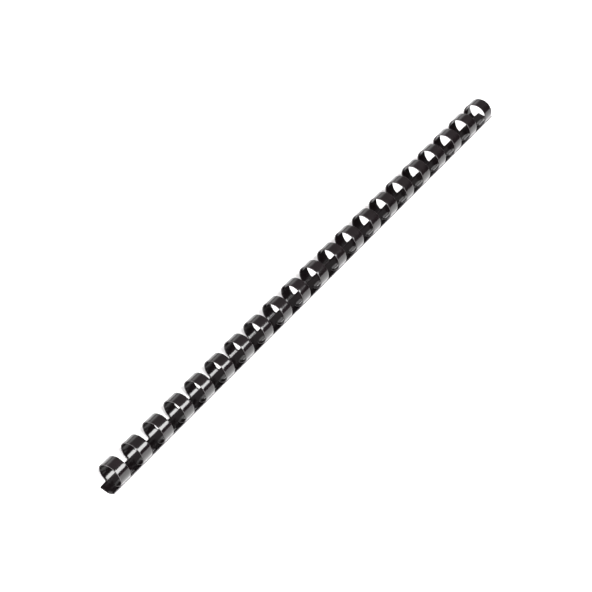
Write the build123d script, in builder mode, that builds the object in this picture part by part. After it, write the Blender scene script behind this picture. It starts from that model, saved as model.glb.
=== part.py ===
from build123d import *
import math
import os

# Plastic binding comb: one springy sheet, with a narrow curved spine along X and a row of
# fingers that leave the spine's far edge (+Y), curl over the top and tuck their tips
# inside the spine's near edge (-Y). Z is up, the spine lies underneath, millimetres.
# Angles are the direction the sheet faces outwards, turning from straight down, through the
# far side (+Y), to the top at 180.

# Driving dimensions
ring_count = 21
ring_pitch = 14.2875          # 9/16 inch, the spacing of comb-punched holes
ring_width = 5.9              # width of one finger, to enter an 8 mm long hole
ring_long = 15.6              # outside of the oval ring, from the root to the top of the front
ring_short = 13.5             # outside of the oval ring, square to that
sheet = 0.5                   # thickness of the plastic
end_tail = 4.0                # spine beyond the first and the last finger
tuck_clearance = 0.25         # free gap between a tucked finger and the spine's near edge
rest_land_width = 3.6         # flat along the spine's underside that the comb rests on
spine_corner_radius = 0.6     # rounded corners at the spine's two ends
root_fillet_radius = 0.7      # where each finger leaves the spine's edge
tip_corner_radius = 2.0       # rounded corners of a finger's free end

# Places round the ring, in degrees from straight down
long_axis_angle = 27.0        # where the oval's long axis meets the spine
spine_near_angle = -53.0
spine_far_angle = 27.0
root_flex_angle = 45.0        # end of the stiff root, where the finger starts to bend
curl_flex_angle = 200.0       # just past the top, where the finger bends as it uncurls
tip_angle = 345.0             # free end, inside the spine

# Derived sizes. The oval is four tangent arcs: a tighter one round each end of its long axis
# and a flatter one along each side.
centre_step = (ring_long - ring_short) / 2 / (2 - math.sqrt(2))
end_radius = ring_long / 2 - centre_step
side_radius = ring_short / 2 + centre_step
near_edge_from_curl = math.radians(360 + spine_near_angle - curl_flex_angle)
tuck = (sheet + tuck_clearance) / (1 - math.cos(near_edge_from_curl))
row_length = (ring_count - 1) * ring_pitch + ring_width
comb_length = row_length + 2 * end_tail
land_half_angle = math.degrees(math.asin(rest_land_width / 2 / end_radius))
land_height = end_radius * math.cos(math.radians(land_half_angle))
near_side_shrink = tuck * (1 + math.sin(math.radians(curl_flex_angle)))
centre_y = -near_side_shrink / 2
centre_z = land_height + centre_step * math.cos(math.radians(long_axis_angle))
first_ring_start = -row_length / 2


def outward(angle):
    """Direction at an angle from straight down towards +Y."""
    turned = math.radians(angle)
    return (math.sin(turned), -math.cos(turned))


def ring_arc(angle, tucked):
    """Centre and outside radius of the arc that the sheet follows at an angle.

    Past the curl the sheet is tucked: it closes inwards by the same amount on every arc."""
    quarter = math.floor((angle - long_axis_angle + 45) / 90) % 4
    axis = outward(long_axis_angle + 90 * quarter)
    radius, reach = (side_radius, -centre_step) if quarter % 2 else (end_radius, centre_step)
    shift = tuck if tucked else 0
    curl = outward(curl_flex_angle)
    centre = (
        centre_y + reach * axis[0] + shift * curl[0],
        centre_z + reach * axis[1] + shift * curl[1],
    )
    return centre, radius - shift


def on_sheet(angle, inset, tucked=False):
    """Point of the sheet at an angle, on its outside or inset below it."""
    centre, radius = ring_arc(angle, tucked)
    direction = outward(angle)
    reach = radius - inset
    return (centre[0] + reach * direction[0], centre[1] + reach * direction[1])


def sheet_arcs(start_angle, end_angle, inset, tucked=False):
    """Arcs of one face of the sheet, drawn in the current BuildLine."""
    joins = [long_axis_angle + 45 + 90 * quarter for quarter in range(-2, 4)]
    stops = [start_angle] + [join for join in joins if start_angle < join < end_angle] + [end_angle]
    for first, last in zip(stops, stops[1:]):
        centre, radius = ring_arc((first + last) / 2, tucked)
        CenterArc(centre, radius - inset, first - 90, last - first)


def strip_outline(start_angle, end_angle, tucked=False):
    """Closed outline of a curled strip of sheet, drawn in the current BuildLine."""
    for inset in (0, sheet):
        sheet_arcs(start_angle, end_angle, inset, tucked)
    for angle in (start_angle, end_angle):
        Line(on_sheet(angle, 0, tucked), on_sheet(angle, sheet, tucked))


def spine_outline():
    """The spine's section: a curved strip with the flat land, drawn in the current BuildLine."""
    for inset in (0, sheet):
        sheet_arcs(spine_near_angle, -land_half_angle, inset)
        Line(on_sheet(-land_half_angle, inset), on_sheet(land_half_angle, inset))
        sheet_arcs(land_half_angle, spine_far_angle, inset)
    for angle in (spine_near_angle, spine_far_angle):
        Line(on_sheet(angle, 0), on_sheet(angle, sheet))


def edges_across_sheet(part, angle, tucked=False):
    """Short edges that cross the sheet's thickness at one angle."""
    middle = on_sheet(angle, sheet / 2, tucked)
    found = part.edges().filter_by(
        lambda edge: math.dist((edge.center().Y, edge.center().Z), middle) < sheet / 4
        and edge.length < 1.01 * sheet
    )
    return found


os.makedirs("parts", exist_ok=True)
ring_starts = [first_ring_start + index * ring_pitch for index in range(ring_count)]

# Spine: the curved strip with the stiff root of every finger
with BuildPart() as spine:
    with BuildSketch(Plane.YZ.offset(-comb_length / 2)):
        with BuildLine():
            spine_outline()
        make_face()
    extrude(amount=comb_length)
    near_corners = edges_across_sheet(spine, spine_near_angle)
    far_corners = edges_across_sheet(spine, spine_far_angle)
    fillet(near_corners + far_corners, radius=spine_corner_radius)
    for ring_start in ring_starts:
        with BuildSketch(Plane.YZ.offset(ring_start)):
            with BuildLine():
                strip_outline(spine_far_angle, root_flex_angle)
            make_face()
        extrude(amount=ring_width)
    root_corners = edges_across_sheet(spine, spine_far_angle)
    inner_root_corners = root_corners.filter_by(
        lambda edge: abs(edge.center().X) < row_length / 2 + end_tail / 4
    )
    fillet(inner_root_corners, radius=root_fillet_radius)
spine.part.label = "spine"
export_step(spine.part, "parts/spine.step")

for index, ring_start in enumerate(ring_starts):
    ring_name = f"ring_{index + 1:02d}"

    # Arch: the back of the ring, from the stiff root over the top
    with BuildPart() as arch:
        with BuildSketch(Plane.YZ.offset(ring_start)):
            with BuildLine():
                strip_outline(root_flex_angle, curl_flex_angle)
            make_face()
        extrude(amount=ring_width)
    arch.part.label = f"{ring_name}_arch"
    export_step(arch.part, f"parts/{ring_name}_arch.step")

    # Tip: the front of the ring, closing inwards until its free end lies inside the spine
    with BuildPart() as tip:
        with BuildSketch(Plane.YZ.offset(ring_start)):
            with BuildLine():
                strip_outline(curl_flex_angle, tip_angle, tucked=True)
            make_face()
        extrude(amount=ring_width)
        tip_corners = edges_across_sheet(tip, tip_angle, tucked=True)
        fillet(tip_corners, radius=tip_corner_radius)
    tip.part.label = f"{ring_name}_tip"
    export_step(tip.part, f"parts/{ring_name}_tip.step")

print(f"comb length {comb_length:.2f} mm, tuck {tuck:.3f} mm")
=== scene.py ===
import math

import bpy
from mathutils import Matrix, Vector


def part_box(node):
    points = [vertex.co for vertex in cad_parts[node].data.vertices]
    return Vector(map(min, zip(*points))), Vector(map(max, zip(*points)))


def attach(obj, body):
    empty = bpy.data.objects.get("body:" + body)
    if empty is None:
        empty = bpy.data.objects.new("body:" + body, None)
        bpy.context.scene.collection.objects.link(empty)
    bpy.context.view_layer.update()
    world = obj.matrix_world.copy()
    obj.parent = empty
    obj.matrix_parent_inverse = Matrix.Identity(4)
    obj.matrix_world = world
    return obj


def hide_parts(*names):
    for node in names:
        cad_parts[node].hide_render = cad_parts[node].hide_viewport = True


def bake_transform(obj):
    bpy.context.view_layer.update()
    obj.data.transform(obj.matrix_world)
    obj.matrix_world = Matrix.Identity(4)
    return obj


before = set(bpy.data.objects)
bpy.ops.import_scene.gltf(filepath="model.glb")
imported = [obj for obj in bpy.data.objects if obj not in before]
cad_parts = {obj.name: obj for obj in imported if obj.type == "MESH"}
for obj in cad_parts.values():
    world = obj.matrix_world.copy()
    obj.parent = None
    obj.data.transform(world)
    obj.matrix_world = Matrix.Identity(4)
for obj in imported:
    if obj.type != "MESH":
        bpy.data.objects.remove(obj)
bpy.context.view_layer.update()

# ---------------------------------------------------------------- sizes, in metres
MM = 0.001
SHEET = 0.5 * MM                  # thickness of the plastic
RING_LONG = 15.6 * MM             # outside of the oval ring, from the root to the top of the front
RING_SHORT = 13.5 * MM            # outside of the oval ring, square to that
TUCK_CLEARANCE = 0.25 * MM        # between a tucked finger and the spine's near edge
LAND_WIDTH = 3.6 * MM             # flat under the spine
EDGE_ROUND = 0.11 * MM            # rounding of every cut edge of the sheet
SPINE_CORNER = 0.6 * MM           # rounded corners at the spine's ends
ROOT_FILLET = 0.7 * MM            # where a finger leaves the spine
ROOT_CREASE = 0.06 * MM           # shallow crease on the inside, along the spine's far edge
CREASE_LENGTH = 0.5 * MM          # from the spine's edge to where the crease runs out
TIP_CORNER = 2.0 * MM             # rounded corners of a finger's free end
PIP_RADIUS = 0.7 * MM             # moulding mark on the last ring
PIP_HEIGHT = 0.12 * MM
PIP_SINK = 0.02 * MM              # how far the pip's rim is sunk into the finger
SPINE_ROW_STEP = 5 * MM           # between the rows of the spine's mesh
TABLE_HALF = 3.0                  # from the middle of the table to its edges
TABLE_GAP = 0.02 * MM             # keeps the table's face clear of the land's

# Angles, in degrees, are the direction the sheet faces outwards, turning from straight down,
# through the far side (+Y), to the top at 180.
LONG_AXIS = 27.0                  # where the oval's long axis meets the spine
SPINE_NEAR = -53.0                # the spine's two long edges
SPINE_FAR = 27.0
BACK_BEND = (32.0, 80.0)          # angles of the root's bend, where the finger leaves the stiff spine; only used for start and end points that nothing reads
SEAM = 112.0                      # where a ring's back piece meets its front piece
CURL_FLEX = 200.0                 # the hinge past the top; beyond it the sheet is tucked in
FRONT_BEND = (165.0, 235.0)       # angles of the bend past the top, spread each side of its hinge; only used for start and end points that nothing reads
TIP_END = 345.0                   # a finger's free end
PIP_ANGLE = 192.0
ANGLE_STEP = 1.25                 # between the rows of a ring's mesh
ROOT_STEP = 0.5                   # between its rows near the root, for the fillet and the crease
ROOT_STRETCH = 6.0                # how far past the spine's edge those rows go
CORNER_STEP = 5.0                 # between its rows round a rounded corner

# The oval is four tangent arcs: a tighter one round each end and a flatter one on each side.
# CENTRE_STEP is how far each arc's centre lies from the oval's centre.
CENTRE_STEP = (RING_LONG - RING_SHORT) / 2 / (2 - math.sqrt(2))
END_RADIUS = RING_LONG / 2 - CENTRE_STEP
SIDE_RADIUS = RING_SHORT / 2 + CENTRE_STEP
LAST_JOIN = LONG_AXIS + 315        # the last join between two arcs before a finger's free end
# TUCK brings the tucked arcs in far enough to clear the spine at its near edge
near_edge_from_curl = math.radians(360 + SPINE_NEAR - CURL_FLEX)
TUCK = (SHEET + TUCK_CLEARANCE) / (1 - math.cos(near_edge_from_curl))
# Half of the land, and the rounding of a cut edge, as angles round the tighter arc
land_half = math.degrees(math.asin(LAND_WIDTH / 2 / END_RADIUS))
edge_turn = math.degrees(EDGE_ROUND / END_RADIUS)

spine_lo, spine_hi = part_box("spine")
arch_lo, arch_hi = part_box("ring_01_arch")
RING_HALF_WIDTH = (arch_hi[0] - arch_lo[0]) / 2
# The oval's centre: an arch's far side is on a flatter arc and its top on a tighter one
CENTRE_Y = arch_hi[1] - SIDE_RADIUS + CENTRE_STEP * math.cos(math.radians(LONG_AXIS))
CENTRE_Z = arch_hi[2] - END_RADIUS - CENTRE_STEP * math.cos(math.radians(LONG_AXIS))
ring_names = sorted(name[: -len("_arch")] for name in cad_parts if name.endswith("_arch"))


def outward(angle):
    """Direction, as (y, z), that the sheet faces at an angle round the ring."""
    turned = math.radians(angle)
    return math.sin(turned), -math.cos(turned)


def place(across, angle, inset=0.0):
    """Point at an angle round a ring, on its outer surface or inset below it."""
    quarter = math.floor((angle - LONG_AXIS + 45) / 90) % 4
    axis = outward(LONG_AXIS + 90 * quarter)
    radius, reach = (SIDE_RADIUS, -CENTRE_STEP) if quarter % 2 else (END_RADIUS, CENTRE_STEP)
    shift = TUCK if angle > CURL_FLEX else 0.0
    curl = outward(CURL_FLEX)
    facing = outward(angle)
    radius -= shift + inset
    centre_y = CENTRE_Y + reach * axis[0] + shift * curl[0]
    centre_z = CENTRE_Z + reach * axis[1] + shift * curl[1]
    return (across, centre_y + radius * facing[0], centre_z + radius * facing[1])


# ---------------------------------------------------------------- mesh building
def rounded_section(half_width, columns, corner_steps=4):
    """Closed section of the sheet with rounded cut edges.

    Each point is (across, inset, rim): across runs from -half_width to half_width, inset from 0
    on the outer face to SHEET on the inner face, and rim is 1 on a cut edge and 0 on a face."""
    flat = half_width - EDGE_ROUND
    half = [(flat * (2 * column / columns - 1), 0.0, 0.0) for column in range(columns + 1)]
    turns = [90 - 90 * step / corner_steps for step in range(1, corner_steps + 1)]
    corners = [(EDGE_ROUND, turn) for turn in turns]
    corners += [(SHEET - EDGE_ROUND, turn - 90) for turn in [90] + turns[:-1]]
    for corner_inset, turn in corners:
        angle = math.radians(turn)
        across = flat + EDGE_ROUND * math.cos(angle)
        half.append((across, corner_inset - EDGE_ROUND * math.sin(angle), 1.0))
    return half + [(-across, SHEET - inset, rim) for across, inset, rim in half]


def rows_to_mesh(name, rows, rim_values):
    """Skin consecutive closed rows of points, and close both ends."""
    count = len(rim_values)
    vertices = [point for row in rows for point in row]
    faces = []
    for row in range(len(rows) - 1):
        first = row * count
        second = first + count
        for index in range(count):
            following = (index + 1) % count
            faces.append((first + index, first + following, second + following, second + index))
    side_faces = len(faces)
    faces.append(tuple(reversed(range(count))))
    faces.append(tuple(range((len(rows) - 1) * count, len(rows) * count)))
    mesh = bpy.data.meshes.new(name)
    mesh.from_pydata(vertices, [], faces)
    for index, polygon in enumerate(mesh.polygons):
        polygon.use_smooth = index < side_faces
    rim = mesh.attributes.new("cut_edge", "FLOAT", "POINT")
    rim.data.foreach_set("value", rim_values * len(rows))
    piece = bpy.data.objects.new(name, mesh)
    bpy.context.scene.collection.objects.link(piece)
    return piece


def steps_between(start, end, step):
    """Evenly spaced values from start to end, at most a step apart."""
    count = max(1, math.ceil(abs(end - start) / step - 1e-6))
    return [start + (end - start) * index / count for index in range(count + 1)]


def corner_loss(distance, radius):
    """How far a rounded corner draws an outline in, at a distance from the end."""
    if distance >= radius:
        return 0.0
    return radius - math.sqrt(radius**2 - (radius - distance) ** 2)


def finger_piece(name, centre_x, angles):
    """A stretch of one finger: the sheet's section swept round the ring through the angles."""
    section = rounded_section(RING_HALF_WIDTH, columns=6)
    rows = []
    for angle in angles:
        from_root = math.radians(angle - SPINE_FAR) * END_RADIUS
        from_tip = length_to_tip(angle)
        half_width = RING_HALF_WIDTH + corner_loss(max(from_root, 0.0), ROOT_FILLET)
        half_width -= corner_loss(max(from_tip, 0.0), TIP_CORNER)
        widen = half_width / RING_HALF_WIDTH
        crease = ROOT_CREASE * max(0.0, 1 - max(from_root, 0.0) / CREASE_LENGTH)
        thin = corner_loss(max(from_tip, 0.0), EDGE_ROUND)
        row = []
        for across, inset, _ in section:
            share = inset / SHEET
            depth = thin + share * (SHEET - 2 * thin - crease)
            row.append(place(centre_x + across * widen, angle, depth))
        rows.append(row)
    return rows_to_mesh(name, rows, [rim for _, _, rim in section])


def length_to_tip(angle):
    """Length of a finger's outer face from an angle near its free end to that end."""
    on_end = math.radians(TIP_END - max(angle, LAST_JOIN)) * (END_RADIUS - TUCK)
    on_side = math.radians(max(0.0, LAST_JOIN - angle)) * (SIDE_RADIUS - TUCK)
    return on_end + on_side


def angle_before_tip(length):
    """Angle that lies a given length before a finger's free end."""
    on_end = length_to_tip(LAST_JOIN)
    if length < on_end:
        return TIP_END - math.degrees(length / (END_RADIUS - TUCK))
    return LAST_JOIN - math.degrees((length - on_end) / (SIDE_RADIUS - TUCK))


def tip_angles(start):
    """Angles from the seam to the free end, closer together where its corners are rounded."""
    angles = steps_between(start, CURL_FLEX, ANGLE_STEP)
    angles += steps_between(CURL_FLEX, angle_before_tip(TIP_CORNER), ANGLE_STEP)[1:]
    for turn in steps_between(0, 90, CORNER_STEP)[1:]:
        angles.append(angle_before_tip(TIP_CORNER * (1 - math.sin(math.radians(turn)))))
    return angles


def spine_piece():
    """The spine: its curved section, with the flat land below, swept along X."""
    arc_join = LONG_AXIS - 45
    side_arc = math.radians(arc_join - SPINE_NEAR) * SIDE_RADIUS
    end_arc = math.radians(SPINE_FAR - arc_join) * END_RADIUS
    half_arc = (side_arc + end_arc) / 2
    section = rounded_section(half_arc, columns=60)
    half_length = (spine_hi[0] - spine_lo[0]) / 2
    turns = steps_between(90, 0, CORNER_STEP)
    left = [-half_length + SPINE_CORNER * (1 - math.sin(math.radians(turn))) for turn in turns]
    middle = steps_between(left[-1], -left[-1], SPINE_ROW_STEP)[1:-1]
    stations = left + middle + [-station for station in reversed(left)]
    rows = []
    for station in stations:
        distance = max(0.0, half_length - abs(station))
        narrow = 1 - corner_loss(distance, SPINE_CORNER) / half_arc
        thin = corner_loss(distance, EDGE_ROUND)
        row = []
        for across, inset, _ in section:
            from_join = half_arc + across * narrow - side_arc
            bend_radius = SIDE_RADIUS if from_join < 0 else END_RADIUS
            angle = arc_join + math.degrees(from_join / bend_radius)
            depth = thin + inset / SHEET * (SHEET - 2 * thin)
            if abs(angle) < land_half:
                flat_ratio = math.cos(math.radians(land_half)) / math.cos(math.radians(angle))
                depth += (END_RADIUS - depth) * (1 - flat_ratio)
            row.append(place(station, angle, depth))
        rows.append(row)
    piece = rows_to_mesh("spine_shell", rows, [rim for _, _, rim in section])
    piece.data.flip_normals()
    return piece


def pip_piece(centre_x):
    """A small raised moulding mark on the outside of a finger."""
    rings, around = 8, 32
    vertices = [place(centre_x, PIP_ANGLE, -PIP_HEIGHT)]
    for ring in range(1, rings + 1):
        share = ring / rings
        rise = PIP_HEIGHT * (1 - share**2) ** 2 - PIP_SINK * share
        for index in range(around):
            turn = 2 * math.pi * index / around
            across = PIP_RADIUS * share * math.cos(turn)
            along = math.degrees(PIP_RADIUS * share * math.sin(turn) / END_RADIUS)
            vertices.append(place(centre_x + across, PIP_ANGLE + along, -rise))
    faces = [(0, 1 + (index + 1) % around, 1 + index) for index in range(around)]
    for ring in range(rings - 1):
        inner = 1 + ring * around
        outer = inner + around
        for index in range(around):
            following = (index + 1) % around
            faces.append((inner + index, inner + following, outer + following, outer + index))
    faces.append(tuple(1 + (rings - 1) * around + index for index in range(around)))
    mesh = bpy.data.meshes.new("moulding_pip")
    mesh.from_pydata(vertices, [], faces)
    mesh.shade_smooth()
    piece = bpy.data.objects.new("moulding_pip", mesh)
    bpy.context.scene.collection.objects.link(piece)
    return piece


# ---------------------------------------------------------------- materials
PVC_DARK = (0.0034, 0.0024, 0.0027)
PVC_LIGHT = (0.0058, 0.0040, 0.0046)
# lighter colour of the cut edges: a painted highlight, standing in for the light the rims catch
CUT_EDGE_PAINTED_HIGHLIGHT = (0.042, 0.038, 0.039)
GRAIN_DEPTH = 0.006 * MM
LINE_DEPTH = 0.004 * MM
TABLE_DULL = (0.9, 0.9, 0.9)
TABLE_BRIGHT = (0.93, 0.93, 0.93)


def node(tree, kind, **settings):
    """New node of a kind, with its own settings."""
    made = tree.nodes.new(kind)
    for name, value in settings.items():
        setattr(made, name, value)
    return made


def link(tree, source, output, target, entry):
    """Join one node's output to another's input."""
    tree.links.new(source.outputs[output], target.inputs[entry])


def colour_ramp(tree, stops):
    """Ramp between two (position, colour) stops."""
    ramp = node(tree, "ShaderNodeValToRGB")
    elements = ramp.color_ramp.elements
    for element, (position, colour) in zip(elements, stops):
        element.position = position
        element.color = (*colour, 1)
    return ramp


def black_pvc():
    """Glossy black PVC sheet: faint calender lines, fine dust-like mottling, duller (rougher) cut
    edges whose lighter colour is a painted highlight.
    """
    material = bpy.data.materials.new("black_pvc")
    material.use_nodes = True
    tree = material.node_tree
    shader = tree.nodes["Principled BSDF"]
    shader.inputs["IOR"].default_value = 1.53
    place_on_object = node(tree, "ShaderNodeTexCoord")

    mottle = node(tree, "ShaderNodeTexNoise")
    mottle.inputs["Scale"].default_value = 220
    mottle.inputs["Detail"].default_value = 5
    link(tree, place_on_object, "Object", mottle, "Vector")
    face_colour = colour_ramp(tree, ((0.3, PVC_DARK), (0.75, PVC_LIGHT)))
    link(tree, mottle, "Fac", face_colour, "Fac")

    # cut edges: rougher, and painted lighter as a painted highlight
    edge = node(tree, "ShaderNodeAttribute", attribute_name="cut_edge")
    edge_highlight_mix = node(tree, "ShaderNodeMix", data_type="RGBA")
    edge_highlight_mix.inputs["B"].default_value = (*CUT_EDGE_PAINTED_HIGHLIGHT, 1)
    link(tree, edge, "Fac", edge_highlight_mix, "Factor")
    link(tree, face_colour, "Color", edge_highlight_mix, "A")
    link(tree, edge_highlight_mix, "Result", shader, "Base Color")

    stretched = node(tree, "ShaderNodeMapping")
    stretched.inputs["Scale"].default_value = (60, 2600, 2600)
    link(tree, place_on_object, "Object", stretched, "Vector")
    lines = node(tree, "ShaderNodeTexNoise")
    lines.inputs["Scale"].default_value = 1
    lines.inputs["Detail"].default_value = 3
    link(tree, stretched, "Vector", lines, "Vector")

    gloss = node(tree, "ShaderNodeMapRange")
    gloss.inputs["To Min"].default_value = 0.12
    gloss.inputs["To Max"].default_value = 0.18
    link(tree, lines, "Fac", gloss, "Value")
    rough = node(tree, "ShaderNodeMix", data_type="FLOAT")
    rough.inputs["B"].default_value = 0.45
    link(tree, edge, "Fac", rough, "Factor")
    link(tree, gloss, "Result", rough, "A")
    link(tree, rough, "Result", shader, "Roughness")

    grain = node(tree, "ShaderNodeTexNoise")
    grain.inputs["Scale"].default_value = 900
    grain.inputs["Detail"].default_value = 4
    link(tree, place_on_object, "Object", grain, "Vector")
    relief = node(tree, "ShaderNodeBump")
    relief.inputs["Strength"].default_value = 0.1
    relief.inputs["Distance"].default_value = GRAIN_DEPTH
    link(tree, grain, "Fac", relief, "Height")
    line_relief = node(tree, "ShaderNodeBump")
    line_relief.inputs["Strength"].default_value = 0.1
    line_relief.inputs["Distance"].default_value = LINE_DEPTH
    link(tree, lines, "Fac", line_relief, "Height")
    link(tree, relief, "Normal", line_relief, "Normal")
    link(tree, line_relief, "Normal", shader, "Normal")
    return material


def table_white():
    """Smooth white table top, with the slightest unevenness."""
    material = bpy.data.materials.new("table_white")
    material.use_nodes = True
    tree = material.node_tree
    shader = tree.nodes["Principled BSDF"]
    shader.inputs["Roughness"].default_value = 0.6
    shader.inputs["Specular IOR Level"].default_value = 0.25
    place_on_object = node(tree, "ShaderNodeTexCoord")
    cloud = node(tree, "ShaderNodeTexNoise")
    cloud.inputs["Scale"].default_value = 3
    link(tree, place_on_object, "Object", cloud, "Vector")
    tint = colour_ramp(tree, ((0.0, TABLE_DULL), (1.0, TABLE_BRIGHT)))
    link(tree, cloud, "Fac", tint, "Fac")
    link(tree, tint, "Color", shader, "Base Color")
    return material


# ---------------------------------------------------------------- camera, lights, table
CAMERA_AZIMUTH = math.radians(-52.4)
CAMERA_ELEVATION = math.radians(49.76)
CAMERA_DISTANCE = 0.744
FOCAL_IN_FRAMES = 2.618243        # focal length as a share of the picture's width
AIM = Vector((-0.00274, 0.0, 0.0068))
AIM_RIGHT = -0.00694              # shift of the camera to its own right and up, which sets
AIM_UP = -0.00822                 # the comb off the middle of the picture
ROOM_TINT = (1.0, 0.93, 0.95)


def add_camera():
    """Camera that looks along the comb from its near left end, from above."""
    back = Vector((
        math.sin(CAMERA_AZIMUTH) * math.cos(CAMERA_ELEVATION),
        -math.cos(CAMERA_AZIMUTH) * math.cos(CAMERA_ELEVATION),
        math.sin(CAMERA_ELEVATION),
    ))
    right = Vector((0, 0, 1)).cross(back).normalized()
    up = back.cross(right)
    data = bpy.data.cameras.new("camera")
    data.sensor_width = 36
    data.lens = data.sensor_width * FOCAL_IN_FRAMES
    data.clip_start = 0.01
    data.clip_end = 20
    camera = bpy.data.objects.new("camera", data)
    bpy.context.scene.collection.objects.link(camera)
    camera.location = AIM + right * AIM_RIGHT + up * AIM_UP + back * CAMERA_DISTANCE
    camera.rotation_mode = "QUATERNION"
    camera.rotation_quaternion = (-back).to_track_quat("-Z", "Y")
    bpy.context.scene.camera = camera


def add_softbox(name, location, size, radiance, shape="RECTANGLE", aim=(0, 0, 0)):
    """A soft light whose face shows the given radiance, turned towards aim."""
    width, height = size
    data = bpy.data.lights.new(name, "AREA")
    data.shape = shape
    data.size = width
    data.size_y = height
    area = width * height * (math.pi / 4 if shape == "ELLIPSE" else 1)
    data.energy = math.pi * area * radiance
    lamp = bpy.data.objects.new(name, data)
    bpy.context.scene.collection.objects.link(lamp)
    lamp.location = location
    towards = Vector(aim) - Vector(location)
    lamp.rotation_mode = "QUATERNION"
    lamp.rotation_quaternion = towards.to_track_quat("-Z", "Y")


def add_world(near_side, far_side):
    """A dim room: dark low down on the near side (-Y), paler overhead and on the far side."""
    world = bpy.data.worlds.new("studio")
    bpy.context.scene.world = world
    world.use_nodes = True
    tree = world.node_tree
    direction = node(tree, "ShaderNodeTexCoord")
    far_and_up = node(tree, "ShaderNodeVectorMath", operation="DOT_PRODUCT")
    far_and_up.inputs[1].default_value = (0, 1, 1)
    link(tree, direction, "Generated", far_and_up, 0)
    level = node(tree, "ShaderNodeMapRange")
    level.inputs["From Min"].default_value = -0.1
    level.inputs["From Max"].default_value = 0.5
    level.inputs["To Min"].default_value = near_side
    level.inputs["To Max"].default_value = far_side
    link(tree, far_and_up, "Value", level, "Value")
    background = tree.nodes["Background"]
    background.inputs["Color"].default_value = (*ROOM_TINT, 1)
    link(tree, level, "Result", background, "Strength")


def add_table():
    """Wide, flat white table."""
    signs = ((-1, -1), (1, -1), (1, 1), (-1, 1))
    corners = [(TABLE_HALF * across, TABLE_HALF * along, 0) for across, along in signs]
    mesh = bpy.data.meshes.new("table")
    mesh.from_pydata(corners, [], [(0, 1, 2, 3)])
    mesh.materials.append(table_white())
    table = bpy.data.objects.new("table", mesh)
    bpy.context.scene.collection.objects.link(table)
    table.location.z = -TABLE_GAP


add_camera()
add_world(near_side=0.02, far_side=0.34)
add_table()
add_softbox("key_softbox", (-0.02, -0.60, 0.715), size=(1.02, 0.62), radiance=16.5, shape="ELLIPSE")
add_softbox("left_softbox", (-0.95, -0.25, 0.75), size=(0.8, 0.8), radiance=8.0)
add_softbox("back_softbox", (0.75, 1.35, 0.45), size=(2.4, 0.5), radiance=1.3, aim=(0, 0, 0.1))
bpy.context.scene.view_settings.view_transform = "Standard"

# ---------------------------------------------------------------- the comb
pvc = black_pvc()


def finish_piece(piece, replaced):
    """Give a piece its material, and hide the CAD node that it stands for, if any."""
    piece.data.materials.append(pvc)
    if replaced:
        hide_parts(replaced)


shell = spine_piece()
finish_piece(shell, "spine")
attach(shell, "spine")

root_end = SPINE_FAR + ROOT_STRETCH
back_angles = steps_between(SPINE_FAR - edge_turn, root_end, ROOT_STEP)
back_angles += steps_between(root_end, SEAM, ANGLE_STEP)[1:]
front_angles = tip_angles(SEAM)

for ring_name in ring_names:
    low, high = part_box(f"{ring_name}_arch")
    ring_x = (low[0] + high[0]) / 2
    back = finger_piece(f"{ring_name}_back", ring_x, back_angles)
    finish_piece(back, f"{ring_name}_arch")
    start, end = (place(ring_x, angle, SHEET / 2) for angle in BACK_BEND)
    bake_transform(back)

    front = finger_piece(f"{ring_name}_front", ring_x, front_angles)
    finish_piece(front, f"{ring_name}_tip")
    start, end = (place(ring_x, angle, SHEET / 2) for angle in FRONT_BEND)
    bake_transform(front)

# ring_x is still that of the last ring, which carries the pip; start and end are left from it too,
# and nothing uses them
pip = pip_piece(ring_x)
finish_piece(pip, None)
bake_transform(pip)
